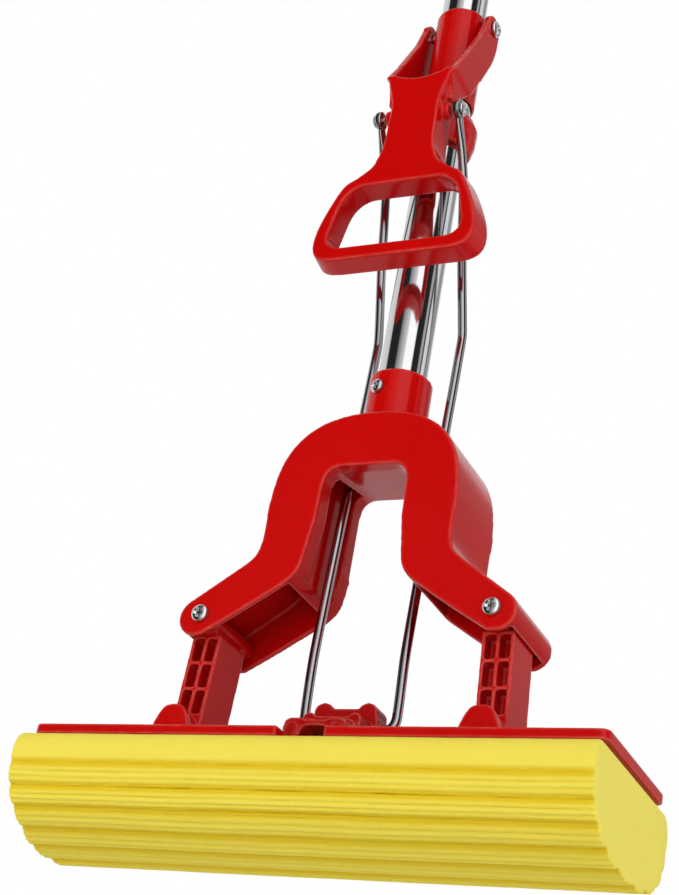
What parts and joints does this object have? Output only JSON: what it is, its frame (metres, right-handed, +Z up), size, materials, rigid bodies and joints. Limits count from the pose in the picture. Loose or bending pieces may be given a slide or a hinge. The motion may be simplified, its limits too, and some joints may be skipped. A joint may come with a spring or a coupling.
{
  "type": "butterfly sponge mop",
  "caption": "Upright sponge mop with a folding two-part head, a yoke with struts, and a hand lever on its telescopic pole that pulls the head up and wrings the sponge.",
  "frame": {"origin": "on the floor under the middle of the sponge, on the axis of the pole", "axes": "+Z up along the pole, +X along the sponge to the right as seen from the lever side, -Y towards the side with the lever"},
  "size_m": [0.277, 0.1066, 0.886],
  "materials": {
    "red_plastic": "glossy moulded red plastic",
    "sponge_pva": "matt lemon-yellow ribbed sponge",
    "backing_plastic": "thin off-white sheet",
    "tube_chrome": "bright chromed tube",
    "wire_chrome": "bright chromed wire",
    "screw_chrome": "chromed screws and nuts",
    "pin_steel": "plain steel pins"
  },
  "bodies": {
    "pole": {"outer_tube": "tube_chrome", "yoke": "red_plastic", "socket_screw": "screw_chrome", "foot_screw_right": "screw_chrome", "foot_screw_left": "screw_chrome", "foot_nut_right": "screw_chrome", "foot_nut_left": "screw_chrome", "lever_sleeve": "red_plastic", "pivot_screw_right": "screw_chrome", "pivot_screw_left": "screw_chrome", "stop_collar": "red_plastic", "lock_sleeve": "red_plastic"},
    "lever": {"lever": "red_plastic"},
    "carriage": {"hinge_block": "red_plastic", "hinge_pin_right": "pin_steel", "hinge_pin_left": "pin_steel"},
    "pull_rod": {"pull_rod": "wire_chrome", "rod_screw_right": "screw_chrome", "rod_screw_left": "screw_chrome"},
    "wing_right": {"wing_right": "red_plastic", "sponge_backing_right": "backing_plastic", "sponge_right": "sponge_pva"},
    "wing_left": {"wing_left": "red_plastic", "sponge_backing_left": "backing_plastic", "sponge_left": "sponge_pva"},
    "strut_right": {"strut_right": "red_plastic", "lug_pin_right": "pin_steel"},
    "strut_left": {"strut_left": "red_plastic", "lug_pin_left": "pin_steel"},
    "upper_pole": {"inner_tube": "tube_chrome", "grip": "red_plastic", "hang_cap": "red_plastic"},
    "twist_collar": {"twist_collar": "red_plastic"}
  },
  "joints": [
    {"name": "lever_swing", "type": "hinge", "parent": "pole", "child": "lever", "pos_m": [0, 0, 0.4717], "axis": [-1, 0, 0], "range_deg": [0, 70.86]},
    {"name": "block_lift", "type": "slide", "parent": "pole", "child": "carriage", "axis": [0, 0, 1], "range_m": [0, 0.0946]},
    {"name": "wire_tilt", "type": "hinge", "parent": "carriage", "child": "pull_rod", "pos_m": [0, 0.005, 0.065], "axis": [1, 0, 0], "range_deg": [0, 9.89]},
    {"name": "wing_fold_right", "type": "hinge", "parent": "carriage", "child": "wing_right", "pos_m": [0.011, 0, 0.054], "axis": [0, 1, 0], "range_deg": [0, 80.01], "deforming": ["sponge_right"]},
    {"name": "wing_fold_left", "type": "hinge", "parent": "carriage", "child": "wing_left", "pos_m": [-0.011, 0, 0.054], "axis": [0, -1, 0], "range_deg": [0, 80.01], "deforming": ["sponge_left"]},
    {"name": "strut_swing_right", "type": "hinge", "parent": "pole", "child": "strut_right", "pos_m": [0.0736, 0, 0.1127], "axis": [0, 1, 0], "range_deg": [0, 62.06]},
    {"name": "strut_swing_left", "type": "hinge", "parent": "pole", "child": "strut_left", "pos_m": [-0.0736, 0, 0.1127], "axis": [0, -1, 0], "range_deg": [0, 62.06]},
    {"name": "pole_slide", "type": "slide", "parent": "pole", "child": "upper_pole", "axis": [0, 0, 1], "range_m": [0, 0.35]},
    {"name": "lock_twist", "type": "hinge", "parent": "pole", "child": "twist_collar", "pos_m": [0, 0, 0.7], "axis": [0, 0, 1], "range_deg": [0, 90]}
  ],
  "couplings": [
    {"joint": "block_lift", "follows": "lever_swing", "m_per_rad": 0.07644},
    {"joint": "wire_tilt", "follows": "lever_swing", "ratio": 0.13943},
    {"joint": "wing_fold_right", "follows": "lever_swing", "ratio": 1.129},
    {"joint": "wing_fold_left", "follows": "lever_swing", "ratio": 1.129},
    {"joint": "strut_swing_right", "follows": "lever_swing", "ratio": 0.87578},
    {"joint": "strut_swing_left", "follows": "lever_swing", "ratio": 0.87578}
  ]
}
